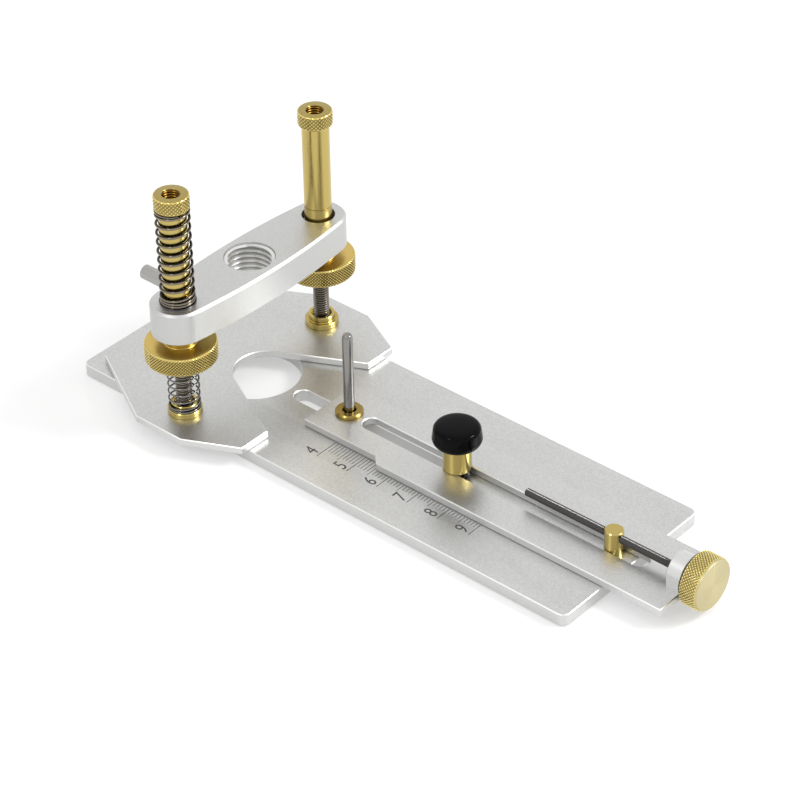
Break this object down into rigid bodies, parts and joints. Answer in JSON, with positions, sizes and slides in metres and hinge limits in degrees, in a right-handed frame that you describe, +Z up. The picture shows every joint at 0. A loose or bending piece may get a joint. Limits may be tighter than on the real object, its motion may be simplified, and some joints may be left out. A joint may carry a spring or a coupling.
{
  "type": "sound hole cutting jig",
  "caption": "Jig that holds a rotary tool over a base plate and swings it about an adjustable pivot pin to rout round holes and rosettes; spring-loaded depth bridge and fine screw.",
  "frame": {"origin": "cutter's axis on the underside of the base plate", "axes": "+X along the jig to the adjusting knob, +Z up along the posts, so -Y is the side with the scale, the springs and the air nipple"},
  "size_m": [0.2612, 0.1016, 0.0998],
  "materials": {
    "plates": "bead-blasted satin",
    "brass": "satin",
    "steel": "polished",
    "dark_steel": "blackened",
    "black_plastic": "gloss"
  },
  "bodies": {
    "base": {"base_plate": "plates", "router_base_plate": "plates", "base_screws": "steel", "left_post": "dark_steel", "right_post": "dark_steel", "left_boss": "brass", "right_boss": "brass", "lower_spring": "steel", "barrel_nut": "brass", "nut_screw": "steel", "lock_bolt": "steel"},
    "slide": {"slide_bar": "plates", "pivot_bush": "brass", "end_bracket": "plates", "bracket_screws": "steel"},
    "pin": {"pivot_pin": "steel"},
    "screw": {"adjusting_screw": "dark_steel", "retaining_ring": "steel", "adjusting_knob": "brass", "grub_screw": "steel"},
    "collar": {"lock_collar": "brass"},
    "knob": {"lock_knob": "black_plastic", "lock_knob_insert": "brass"},
    "columns": {"left_sleeve": "brass", "right_sleeve": "brass", "left_cap": "brass", "right_cap": "brass", "upper_spring": "dark_steel"},
    "left_wheel": {"left_thumb_wheel": "brass"},
    "right_wheel": {"right_thumb_wheel": "brass"},
    "bridge": {"bridge": "plates", "air_nipple": "steel", "spring_washer": "dark_steel"}
  },
  "joints": [
    {"name": "slide_travel", "type": "slide", "parent": "base", "child": "slide", "axis": [1, 0, 0], "range_m": [-0.011, 0.034]},
    {"name": "screw_turn", "type": "hinge", "parent": "slide", "child": "screw", "pos_m": [0.2, 0, 0.01265], "axis": [1, 0, 0], "range_deg": [-7921, 24481]},
    {"name": "pin_height", "type": "slide", "parent": "slide", "child": "pin", "axis": [0, 0, 1], "range_m": [-0.012, 0.005]},
    {"name": "lock_lift", "type": "slide", "parent": "base", "child": "collar", "axis": [0, 0, 1], "range_m": [0, 0.0016]},
    {"name": "lock_turn", "type": "hinge", "parent": "collar", "child": "knob", "pos_m": [0.0974, 0, 0.02], "axis": [0, 0, 1], "range_deg": [0, 721]},
    {"name": "depth_set", "type": "slide", "parent": "base", "child": "columns", "axis": [0, 0, 1], "range_m": [-0.014, 0], "deforming": ["lower_spring"]},
    {"name": "left_wheel_turn", "type": "hinge", "parent": "columns", "child": "left_wheel", "pos_m": [0, -0.0368, 0.035], "axis": [0, 0, 1], "range_deg": [-5041, 1]},
    {"name": "right_wheel_turn", "type": "hinge", "parent": "columns", "child": "right_wheel", "pos_m": [0, 0.0368, 0.035], "axis": [0, 0, 1], "range_deg": [-5041, 1]},
    {"name": "plunge", "type": "slide", "parent": "columns", "child": "bridge", "axis": [0, 0, 1], "range_m": [0, 0.018], "stiffness_N_per_m": 1000, "springref_m": -0.006, "deforming": ["upper_spring"]}
  ],
  "couplings": [
    {"joint": "screw_turn", "follows": "slide_travel", "rad_per_m": 12566},
    {"joint": "lock_turn", "follows": "lock_lift", "rad_per_m": 7854},
    {"joint": "left_wheel_turn", "follows": "depth_set", "rad_per_m": 6283.2},
    {"joint": "right_wheel_turn", "follows": "depth_set", "rad_per_m": 6283.2}
  ]
}
